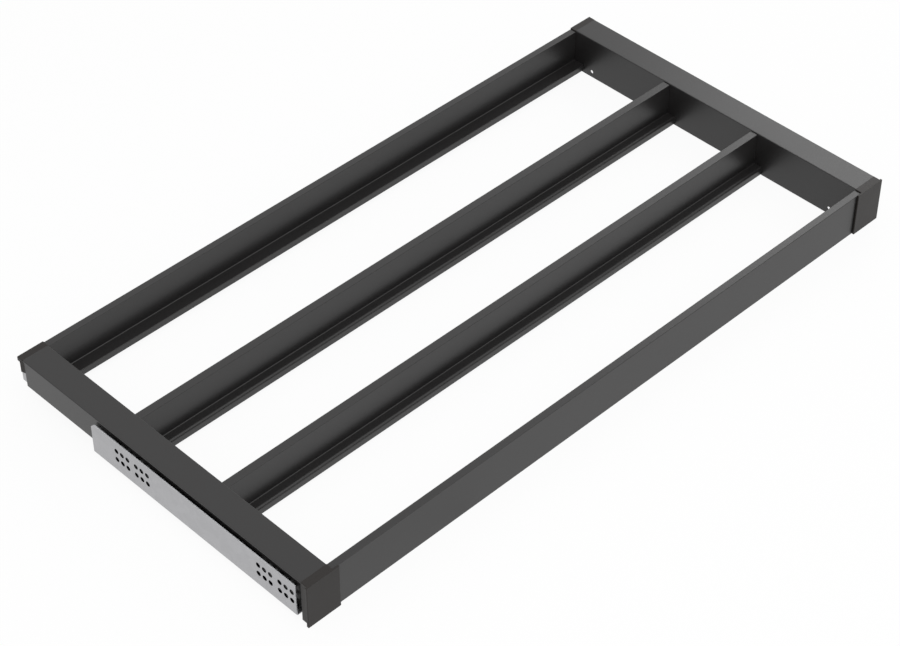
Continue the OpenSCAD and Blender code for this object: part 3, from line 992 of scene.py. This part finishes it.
@dataclass
class Spring:
    """The soft-close unit's spring: a round wire wound in a helix, with both ends closed."""

    side: Side
    finish: Finish = SPRING_WIRE
    wire: float = 0.6 * MM
    pitch: float = 2.5 * MM
    wire_sides: int = 10
    steps: int = 24

    def build(self, wardrobe: Wardrobe) -> None:
        """Models the spring at its node and lets it ride.

        Args:
            wardrobe: Where the finish comes from.
        """
        node = f"{self.side.label}_damper_spring"
        low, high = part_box(node)
        middle = (low + high) / 2
        mean_radius = (high.x - low.x - self.wire) / 2
        turns = int((high.y - low.y) / self.pitch)
        deselect()
        bpy.ops.mesh.primitive_circle_add(
            vertices=self.wire_sides,
            radius=self.wire / 2,
            fill_type="NOTHING",
            location=(mean_radius, 0, 0),
            rotation=(math.pi / 2, 0, 0),
        )
        coil = bpy.context.object
        settle(coil)
        wind = coil.modifiers.new("wind", "SCREW")
        wind.axis = "Z"
        wind.angle = 2 * math.pi
        wind.screw_offset = self.pitch
        wind.iterations = turns
        wind.steps = self.steps
        wind.render_steps = self.steps
        select(coil)
        bpy.ops.object.modifier_apply(modifier=wind.name)
        self.close(coil)
        coil.rotation_euler.x = -math.pi / 2
        coil.location = (middle.x, low.y + self.wire / 2, middle.z)
        settle(coil)
        coil.name = f"{node}_wound"
        bpy.ops.object.shade_smooth()
        wardrobe.dress(coil, self.finish)
        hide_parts(node)
        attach(coil, "cabinet_rails")

    def close(self, coil: bpy.types.Object) -> None:
        """Closes the wire's two ends and turns its faces outwards.

        Args:
            coil: The wound wire.
        """
        select(coil)
        bpy.ops.object.mode_set(mode="EDIT")
        bpy.ops.mesh.select_all(action="SELECT")
        bpy.ops.mesh.remove_doubles(threshold=WELD)
        bpy.ops.mesh.select_all(action="DESELECT")
        bpy.ops.mesh.select_mode(type="EDGE")
        bpy.ops.mesh.select_non_manifold()
        bpy.ops.mesh.fill_holes(sides=0)
        bpy.ops.mesh.select_all(action="SELECT")
        bpy.ops.mesh.normals_make_consistent(inside=False)
        bpy.ops.mesh.select_mode(type="VERT")
        bpy.ops.object.mode_set(mode="OBJECT")


@dataclass
class RearCap:
    """A rear cap, whose head flares out behind the side profile's skirt.

    The node steps out there by the whole flare. Depth is the head's depth, plate the thickness
    of the side profile's top plate, and reach the width of the block that takes the step off.
    """

    side: Side
    finish: Finish = CAP_NYLON
    flare: float = 1.8 * MM
    depth: float = 5.3 * MM
    plate: float = 1.6 * MM
    reach: float = 8.0 * MM

    def build(self, wardrobe: Wardrobe) -> None:
        """Takes the step off a copy of the node and lets the copy ride.

        Args:
            wardrobe: Where the finish comes from.
        """
        name = self.side.label
        node = frame["nodes"][f"rear_{name}_cap"]
        cap = copy_of(node, f"{node.name}_flared")
        del cap["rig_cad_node"]
        self.merge(cap)
        blade = self.blade(f"{name}_side_profile", node.name)
        cut = cap.modifiers.new("flare", "BOOLEAN")
        cut.operation = "DIFFERENCE"
        cut.solver = "EXACT"
        cut.object = blade
        select(cap)
        bpy.ops.object.modifier_apply(modifier=cut.name)
        bpy.data.objects.remove(blade)
        wardrobe.dress(cap, self.finish)
        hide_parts(node.name)
        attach(cap, node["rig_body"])

    def merge(self, cap: bpy.types.Object) -> None:
        """Joins the copy's loose triangles into one closed skin.

        Args:
            cap: The copy of the node.
        """
        select(cap)
        bpy.ops.object.mode_set(mode="EDIT")
        bpy.ops.mesh.select_all(action="SELECT")
        bpy.ops.mesh.remove_doubles(threshold=WELD)
        bpy.ops.object.mode_set(mode="OBJECT")

    def blade(self, profile: str, cap: str) -> bpy.types.Object:
        """Makes the block that takes the step off, turned along the flare.

        Args:
            profile: The side profile's node.
            cap: The cap's node.

        Returns:
            The block, below the profile's top plate and beside the head.
        """
        way = self.side.value
        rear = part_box(profile)[1]
        face = max(way * corner.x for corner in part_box(cap)) - self.flare
        slope = math.atan2(self.flare, self.depth)
        rise = rear.z - self.plate
        outwards = Vector((way * math.cos(slope), -math.sin(slope), 0))
        deselect()
        bpy.ops.mesh.primitive_cube_add(size=1)
        made = bpy.context.object
        made.scale = (self.reach, 2 * math.hypot(self.flare, self.depth), rise)
        made.rotation_euler.z = -way * slope
        made.location = Vector((way * face, rear.y, rise / 2)) + outwards * self.reach / 2
        settle(made)
        return made


@dataclass
class TrayFrame:
    """The frame that is pulled out: profiles, bars, dividers, caps and their screws."""

    across: tuple[str, ...] = ("front_bar", "rear_bar", "front_divider", "rear_divider")
    deep: tuple[str, ...] = ("left_side_profile", "right_side_profile")
    front_caps: tuple[str, ...] = ("front_left_cap", "front_right_cap")
    screws: tuple[str, ...] = (
        "left_divider_screws",
        "right_divider_screws",
        "corner_screws",
        "left_channel_screws",
        "right_channel_screws",
    )

    def build(self, wardrobe: Wardrobe) -> None:
        """Dresses the profiles and caps, and models the screws.

        Args:
            wardrobe: Where the finishes come from.
        """
        for name in self.across:
            wardrobe.dress_node(name, COAT_ACROSS)
        for name in self.deep:
            wardrobe.dress_node(name, COAT_DEEP)
        for name in self.front_caps:
            wardrobe.dress_node(name, CAP_NYLON)
        for side in Side:
            RearCap(side).build(wardrobe)
        for name in self.screws:
            Screw(name).build(wardrobe)


@dataclass
class Slide:
    """One hidden slide: its rails, cages, rollers and balls."""

    side: Side
    finishes: dict[str, Finish] = field(
        default_factory=lambda: {
            "mounting_channel": ZINC_SHEET,
            "runner": BRIGHT_ZINC,
            "middle_rail": BRIGHT_ZINC,
            "lower_cage": ACETAL,
            "upper_cage": ACETAL,
            "lower_rollers": BEARING,
            "upper_rollers": BEARING,
            "lower_balls": BEARING,
            "upper_balls": BEARING,
        }
    )

    def build(self, wardrobe: Wardrobe) -> None:
        """Dresses every piece of the slide.

        Args:
            wardrobe: Where the finishes come from.
        """
        name = self.side.label
        for piece, finish in self.finishes.items():
            wardrobe.dress_node(f"{name}_{piece}", finish)
        punched = PUNCHED_LEFT if self.side is Side.LEFT else PUNCHED_RIGHT
        wardrobe.dress_node(f"{name}_cabinet_rail", punched)


@dataclass
class SoftClose:
    """The soft-close unit on a cabinet rail: housing, damper, sled and spring."""

    side: Side
    finishes: dict[str, Finish] = field(
        default_factory=lambda: {
            "damper_housing": HOUSING_NYLON,
            "damper_cylinder": DAMPER_TUBE,
            "damper_rod": BEARING,
            "damper_sled": ACETAL,
        }
    )

    def build(self, wardrobe: Wardrobe) -> None:
        """Dresses the unit's pieces and winds its spring.

        Args:
            wardrobe: Where the finishes come from.
        """
        for piece, finish in self.finishes.items():
            wardrobe.dress_node(f"{self.side.label}_{piece}", finish)
        Spring(self.side).build(wardrobe)


@dataclass(frozen=True)
class Softbox:
    """A soft square lamp: where it hangs, the point that it faces, its side and its watts."""

    name: str
    place: tuple[float, float, float]
    aim: tuple[float, float, float]
    size: float
    power: float

    def hang(self) -> None:
        """Makes the lamp and turns it to its aim."""
        lamp = bpy.data.lights.new(self.name, "AREA")
        lamp.size = self.size
        lamp.energy = self.power
        hung = bpy.data.objects.new(self.name, lamp)
        hung.location = self.place
        way = Vector(self.aim) - Vector(self.place)
        hung.rotation_euler = way.to_track_quat("-Z", "Y").to_euler()
        bpy.context.scene.collection.objects.link(hung)


@dataclass
class Studio:
    """A plain white room: pale floor, white world, one large soft light and one for the gloss."""

    floor_size: float = 14.0
    floor_drop: float = 0.3 * MM
    floor_colour: str = "#e9e9e9"
    shadow_share: float = 0.08
    world_light: float = 0.72
    lamps: tuple[Softbox, ...] = (
        Softbox("overhead_softbox", (-0.6, -1.2, 2.6), (0.0, 0.0, 0.0), 2.4, 40.0),
        Softbox("right_softbox", (2.1, 0.7, 1.5), (0.4, -0.1, 0.05), 1.0, 9.4),
    )

    def build(self) -> None:
        """Makes the floor, the world and the lamps, and sets the view transform."""
        bpy.context.scene.view_settings.view_transform = "Standard"
        self.make_world()
        self.make_floor()
        for lamp in self.lamps:
            lamp.hang()

    def direct_rays(self, tree: bpy.types.NodeTree) -> bpy.types.NodeSocket:
        """Gives 1 for the rays that show the background: from the camera, glossy or through glass.

        Args:
            tree: The node tree of the world or of a material.

        Returns:
            The socket that says so.
        """
        path = add(tree, "ShaderNodeLightPath")
        seen = add(
            tree,
            "ShaderNodeMath",
            links={0: path.outputs["Is Camera Ray"], 1: path.outputs["Is Glossy Ray"]},
            operation="MAXIMUM",
        )
        shown = add(
            tree,
            "ShaderNodeMath",
            links={0: seen.outputs[0], 1: path.outputs["Is Transmission Ray"]},
            operation="MAXIMUM",
        )
        return shown.outputs[0]

    def make_world(self) -> None:
        """Makes a white world that lights the object less than it shows."""
        world = bpy.data.worlds.new("white_room")
        world.use_nodes = True
        bpy.context.scene.world = world
        tree = world.node_tree
        strength = add(
            tree,
            "ShaderNodeMapRange",
            values={"To Min": self.world_light, "To Max": 1.0},
            links={"Value": self.direct_rays(tree)},
        )
        background = tree.nodes["Background"]
        background.inputs["Color"].default_value = (1, 1, 1, 1)
        tree.links.new(strength.outputs["Result"], background.inputs["Strength"])

    def make_floor(self) -> None:
        """Makes the pale floor, which shows white and keeps a faint shadow."""
        deselect()
        bpy.ops.mesh.primitive_plane_add(size=self.floor_size, location=(0, 0, -self.floor_drop))
        floor = bpy.context.object
        floor.name = "floor"
        made = bpy.data.materials.new("pale_floor")
        made.use_nodes = True
        tree = made.node_tree
        tree.nodes.remove(tree.nodes["Principled BSDF"])
        matt = add(tree, "ShaderNodeBsdfDiffuse", values={"Color": linear(self.floor_colour)})
        white = add(tree, "ShaderNodeEmission", values={"Strength": 1.0})
        share = add(
            tree,
            "ShaderNodeMath",
            values={1: 1 - self.shadow_share},
            links={0: self.direct_rays(tree)},
            operation="MULTIPLY",
        )
        mix = add(
            tree,
            "ShaderNodeMixShader",
            links={0: share.outputs[0], 1: matt.outputs[0], 2: white.outputs[0]},
        )
        tree.links.new(mix.outputs[0], tree.nodes["Material Output"].inputs["Surface"])
        floor.data.materials.append(made)
        floor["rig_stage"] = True


@dataclass
class Viewpoint:
    """The photograph's view: a long lens from the front left, looking down."""

    place: tuple[float, float, float] = (-1.4565, -1.4493, 1.8273)
    heading: float = 44.603
    tilt: float = 42.115
    lens_mm: float = 96.58
    sensor_mm: float = 36.0

    def build(self) -> None:
        """Makes the camera and makes it the scene's own."""
        camera = bpy.data.cameras.new("photograph_view")
        camera.lens = self.lens_mm
        camera.sensor_width = self.sensor_mm
        stand = bpy.data.objects.new("photograph_view", camera)
        stand.location = self.place
        stand.rotation_euler = (math.radians(90 - self.tilt), 0, -math.radians(self.heading))
        bpy.context.scene.collection.objects.link(stand)
        bpy.context.scene.camera = stand


def corners() -> list[list[float]]:
    """Gives the shown object's box as plain lists."""
    bpy.context.view_layer.update()
    return [list(corner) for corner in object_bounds()]


def main() -> None:
    """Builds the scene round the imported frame."""
    logging.basicConfig(level=logging.INFO, format="%(name)s: %(message)s")
    cad_box = corners()
    Viewpoint().build()
    wardrobe = Wardrobe()
    TrayFrame().build(wardrobe)
    for side in Side:
        Slide(side).build(wardrobe)
        SoftClose(side).build(wardrobe)
    Studio().build()
    {"cad": cad_box, "visual": corners()}


if __name__ == "__main__":
    main()
